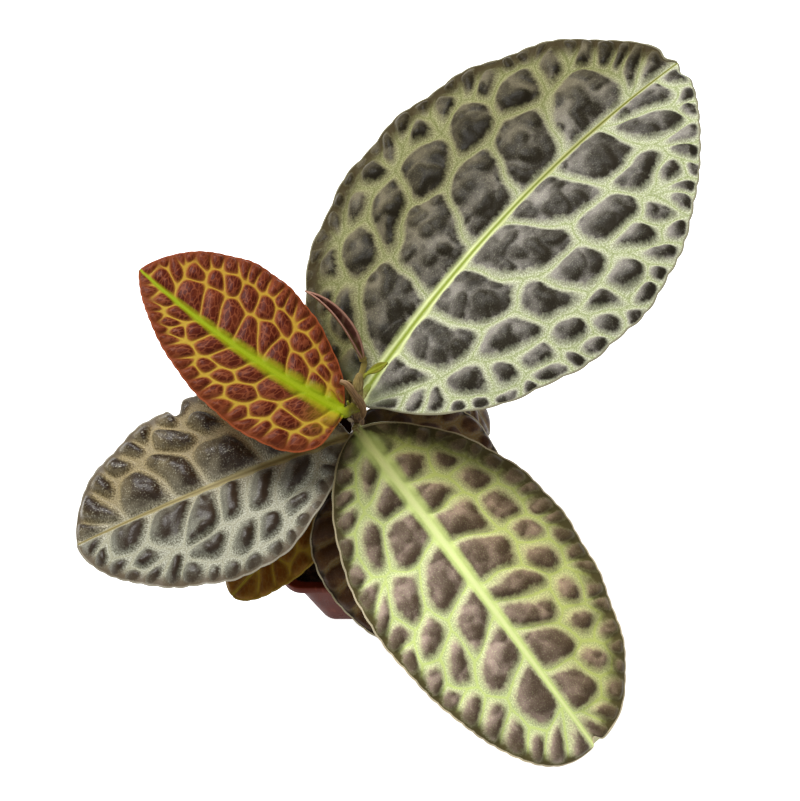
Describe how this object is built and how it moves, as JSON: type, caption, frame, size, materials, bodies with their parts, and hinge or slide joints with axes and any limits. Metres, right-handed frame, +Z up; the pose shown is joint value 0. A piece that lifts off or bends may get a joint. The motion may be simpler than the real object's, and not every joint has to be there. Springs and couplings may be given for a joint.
{
  "type": "potted turtle back labisia",
  "caption": "Small foliage plant with a short woody stem and broad puckered leaves marked by a raised net of veins, growing in a square plastic nursery pot that rests on a table.",
  "frame": {"origin": "centre of the pot's flat underside, on the surface that it rests on", "axes": "+Z up along the pot's axis, +X to the right and +Y away from the viewer, both square to the pot's sides"},
  "size_m": [0.2512, 0.2775, 0.22],
  "materials": {
    "pot": "thin injection-moulded plastic with a soft gloss",
    "soil": "loose dark peat compost, matte",
    "bark": "scurfy brown bark, matte",
    "leaf_silver": "dark islands in a pale green net, dull waxy sheen",
    "leaf_green": "mauve-brown islands in a bright green net, dull waxy sheen",
    "leaf_grey": "blue-grey islands in a silvery net, waxy sheen",
    "leaf_red": "maroon islands in a yellow-orange net, soft sheen",
    "leaf_maroon": "rolled young leaf, maroon-brown, soft sheen",
    "leaf_dark": "dark brown shaded leaf with a faint net, waxy sheen",
    "leaf_olive": "olive-brown leaf with a faint olive net, waxy sheen",
    "leaf_bud": "olive-green new leaf, soft sheen"
  },
  "bodies": {
    "root": {"pot": "pot", "soil": "soil", "stem": "bark", "leaf_large_back_right": "leaf_silver", "leaf_long_front_right": "leaf_green", "leaf_left": "leaf_grey", "leaf_red_back_left": "leaf_red", "leaf_rolled": "leaf_maroon", "leaf_low_right": "leaf_dark", "leaf_low_olive": "leaf_olive", "leaf_low_front": "leaf_dark", "leaf_low_back": "leaf_dark", "leaf_bud": "leaf_bud"}
  },
  "joints": []
}
